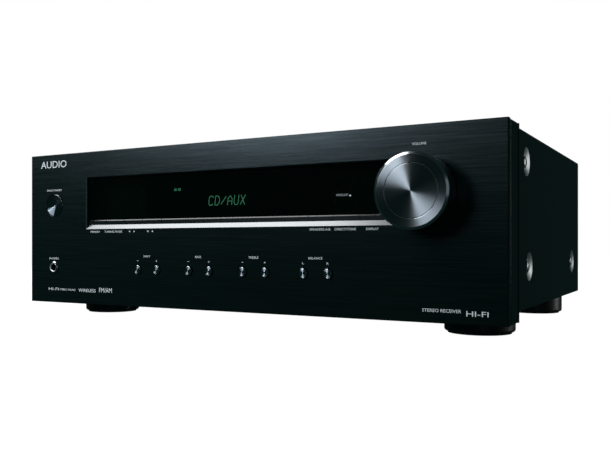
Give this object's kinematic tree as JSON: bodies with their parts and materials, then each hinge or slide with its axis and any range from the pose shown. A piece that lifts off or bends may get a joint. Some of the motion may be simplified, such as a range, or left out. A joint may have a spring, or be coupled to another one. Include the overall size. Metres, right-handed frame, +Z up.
{
  "type": "stereo receiver",
  "caption": "Stereo receiver: a black steel case with a brushed aluminium front, display window, turned volume knob, press keys, feet, rear sockets and speaker posts.",
  "frame": {"origin": "on the floor, under the middle of the whole object's width and depth", "axes": "+X to the right seen from the front, +Y to the rear, +Z up; the front faces -Y"},
  "size_m": [0.435, 0.328, 0.1473],
  "materials": {
    "front_aluminium": "black anodised, brushed lengthwise",
    "frame_plastic": "fine satin moulding",
    "lens_acrylic": "polished, smoked almost black",
    "display_glass": "polished glass tube",
    "board_green": "solder-masked board",
    "board_brown": "phenolic board",
    "key_plastic": "semi-gloss moulding",
    "spun_aluminium": "turned, with concentric lines",
    "button_metal": "turned",
    "switch_plastic": "moulded",
    "shaft_steel": "ground",
    "nickel": "nickel plated",
    "led_resin": "clear resin",
    "galvanised_steel": "zinc coated sheet",
    "painted_steel": "black, fine satin paint",
    "black_screw": "black zinc",
    "foot_plastic": "satin moulding",
    "pad_rubber": "matt",
    "lamination_steel": "varnished sheets",
    "winding": "enamelled wire under tape",
    "heatsink_aluminium": "extruded",
    "component_black": "moulded",
    "capacitor_sleeve": "shrunk sleeve",
    "ribbon_plastic": "flat cable",
    "socket_plastic": "moulded",
    "post_red": "moulded",
    "post_black": "moulded",
    "gold_plate": "gold plated"
  },
  "bodies": {
    "case": {"front_plate": "front_aluminium", "front_frame": "frame_plastic", "display_lens": "lens_acrylic", "display_tube": "display_glass", "front_board": "board_green", "strip_blank": "key_plastic", "tact_switches": "switch_plastic", "volume_encoder": "shaft_steel", "panel_nuts": "nickel", "phones_jack": "socket_plastic", "status_led": "led_resin", "front_chassis": "galvanised_steel", "chassis_tray": "galvanised_steel", "rear_panel": "painted_steel", "top_cover": "painted_steel", "case_screws": "black_screw", "feet": "foot_plastic", "foot_pads": "pad_rubber", "foot_screws": "shaft_steel", "transformer_core": "lamination_steel", "transformer_coil": "winding", "heatsink": "heatsink_aluminium", "power_transistors": "component_black", "main_board": "board_brown", "filter_capacitors": "capacitor_sleeve", "board_parts": "component_black", "input_board": "board_green", "input_jacks": "nickel", "optical_sockets": "socket_plastic", "radio_module": "nickel", "ribbon_cable": "ribbon_plastic", "mains_inlet": "socket_plastic", "speaker_base": "socket_plastic", "speaker_studs": "gold_plate"},
    "memory_key": {"key_memory": "key_plastic"},
    "tuning_mode_key": {"key_tuning_mode": "key_plastic"},
    "step_key": {"key_step": "key_plastic"},
    "preset_key": {"key_preset": "key_plastic"},
    "speakers_key": {"key_speakers": "key_plastic"},
    "tone_key": {"key_tone": "key_plastic"},
    "display_key": {"key_display": "key_plastic"},
    "input_down": {"input_down_button": "button_metal"},
    "input_up": {"input_up_button": "button_metal"},
    "bass_down": {"bass_down_button": "button_metal"},
    "bass_up": {"bass_up_button": "button_metal"},
    "treble_down": {"treble_down_button": "button_metal"},
    "treble_up": {"treble_up_button": "button_metal"},
    "balance_left": {"balance_left_button": "button_metal"},
    "balance_right": {"balance_right_button": "button_metal"},
    "power": {"power_button": "spun_aluminium"},
    "volume": {"volume_knob": "spun_aluminium", "volume_shaft": "shaft_steel"},
    "post_a_right_plus_cap": {"post_a_right_plus": "post_red"},
    "post_a_right_minus_cap": {"post_a_right_minus": "post_black"},
    "post_a_left_plus_cap": {"post_a_left_plus": "post_red"},
    "post_a_left_minus_cap": {"post_a_left_minus": "post_black"},
    "post_b_right_plus_cap": {"post_b_right_plus": "post_red"},
    "post_b_right_minus_cap": {"post_b_right_minus": "post_black"},
    "post_b_left_plus_cap": {"post_b_left_plus": "post_red"},
    "post_b_left_minus_cap": {"post_b_left_minus": "post_black"}
  },
  "joints": [
    {"name": "memory_key_press", "type": "slide", "parent": "case", "child": "memory_key", "axis": [0, 1, 0], "range_m": [0, 0.0008], "stiffness_N_per_m": 500, "springref_m": -0.001},
    {"name": "tuning_mode_key_press", "type": "slide", "parent": "case", "child": "tuning_mode_key", "axis": [0, 1, 0], "range_m": [0, 0.0008], "stiffness_N_per_m": 500, "springref_m": -0.001},
    {"name": "step_key_press", "type": "slide", "parent": "case", "child": "step_key", "axis": [0, 1, 0], "range_m": [0, 0.0008], "stiffness_N_per_m": 500, "springref_m": -0.001},
    {"name": "preset_key_press", "type": "slide", "parent": "case", "child": "preset_key", "axis": [0, 1, 0], "range_m": [0, 0.0008], "stiffness_N_per_m": 500, "springref_m": -0.001},
    {"name": "speakers_key_press", "type": "slide", "parent": "case", "child": "speakers_key", "axis": [0, 1, 0], "range_m": [0, 0.0008], "stiffness_N_per_m": 500, "springref_m": -0.001},
    {"name": "tone_key_press", "type": "slide", "parent": "case", "child": "tone_key", "axis": [0, 1, 0], "range_m": [0, 0.0008], "stiffness_N_per_m": 500, "springref_m": -0.001},
    {"name": "display_key_press", "type": "slide", "parent": "case", "child": "display_key", "axis": [0, 1, 0], "range_m": [0, 0.0008], "stiffness_N_per_m": 500, "springref_m": -0.001},
    {"name": "input_down_press", "type": "slide", "parent": "case", "child": "input_down", "axis": [0, 1, 0], "range_m": [0, 0.0008], "stiffness_N_per_m": 500, "springref_m": -0.001},
    {"name": "input_up_press", "type": "slide", "parent": "case", "child": "input_up", "axis": [0, 1, 0], "range_m": [0, 0.0008], "stiffness_N_per_m": 500, "springref_m": -0.001},
    {"name": "bass_down_press", "type": "slide", "parent": "case", "child": "bass_down", "axis": [0, 1, 0], "range_m": [0, 0.0008], "stiffness_N_per_m": 500, "springref_m": -0.001},
    {"name": "bass_up_press", "type": "slide", "parent": "case", "child": "bass_up", "axis": [0, 1, 0], "range_m": [0, 0.0008], "stiffness_N_per_m": 500, "springref_m": -0.001},
    {"name": "treble_down_press", "type": "slide", "parent": "case", "child": "treble_down", "axis": [0, 1, 0], "range_m": [0, 0.0008], "stiffness_N_per_m": 500, "springref_m": -0.001},
    {"name": "treble_up_press", "type": "slide", "parent": "case", "child": "treble_up", "axis": [0, 1, 0], "range_m": [0, 0.0008], "stiffness_N_per_m": 500, "springref_m": -0.001},
    {"name": "balance_left_press", "type": "slide", "parent": "case", "child": "balance_left", "axis": [0, 1, 0], "range_m": [0, 0.0008], "stiffness_N_per_m": 500, "springref_m": -0.001},
    {"name": "balance_right_press", "type": "slide", "parent": "case", "child": "balance_right", "axis": [0, 1, 0], "range_m": [0, 0.0008], "stiffness_N_per_m": 500, "springref_m": -0.001},
    {"name": "power_press", "type": "slide", "parent": "case", "child": "power", "axis": [0, 1, 0], "range_m": [0, 0.0015], "stiffness_N_per_m": 400, "springref_m": -0.0015},
    {"name": "volume_turn", "type": "hinge", "parent": "case", "child": "volume", "pos_m": [0.1584, -0.146, 0.1009], "axis": [0, 1, 0], "continuous": true},
    {"name": "cap_a_right_plus_turn", "type": "hinge", "parent": "case", "child": "post_a_right_plus_cap", "pos_m": [-0.102, 0.1549, 0.104], "axis": [0, 1, 0], "range_deg": [0, 1080]},
    {"name": "cap_a_right_minus_turn", "type": "hinge", "parent": "case", "child": "post_a_right_minus_cap", "pos_m": [-0.083, 0.1549, 0.104], "axis": [0, 1, 0], "range_deg": [0, 1080]},
    {"name": "cap_a_left_plus_turn", "type": "hinge", "parent": "case", "child": "post_a_left_plus_cap", "pos_m": [-0.054, 0.1549, 0.104], "axis": [0, 1, 0], "range_deg": [0, 1080]},
    {"name": "cap_a_left_minus_turn", "type": "hinge", "parent": "case", "child": "post_a_left_minus_cap", "pos_m": [-0.035, 0.1549, 0.104], "axis": [0, 1, 0], "range_deg": [0, 1080]},
    {"name": "cap_b_right_plus_turn", "type": "hinge", "parent": "case", "child": "post_b_right_plus_cap", "pos_m": [-0.102, 0.1549, 0.074], "axis": [0, 1, 0], "range_deg": [0, 1080]},
    {"name": "cap_b_right_minus_turn", "type": "hinge", "parent": "case", "child": "post_b_right_minus_cap", "pos_m": [-0.083, 0.1549, 0.074], "axis": [0, 1, 0], "range_deg": [0, 1080]},
    {"name": "cap_b_left_plus_turn", "type": "hinge", "parent": "case", "child": "post_b_left_plus_cap", "pos_m": [-0.054, 0.1549, 0.074], "axis": [0, 1, 0], "range_deg": [0, 1080]},
    {"name": "cap_b_left_minus_turn", "type": "hinge", "parent": "case", "child": "post_b_left_minus_cap", "pos_m": [-0.035, 0.1549, 0.074], "axis": [0, 1, 0], "range_deg": [0, 1080]}
  ]
}
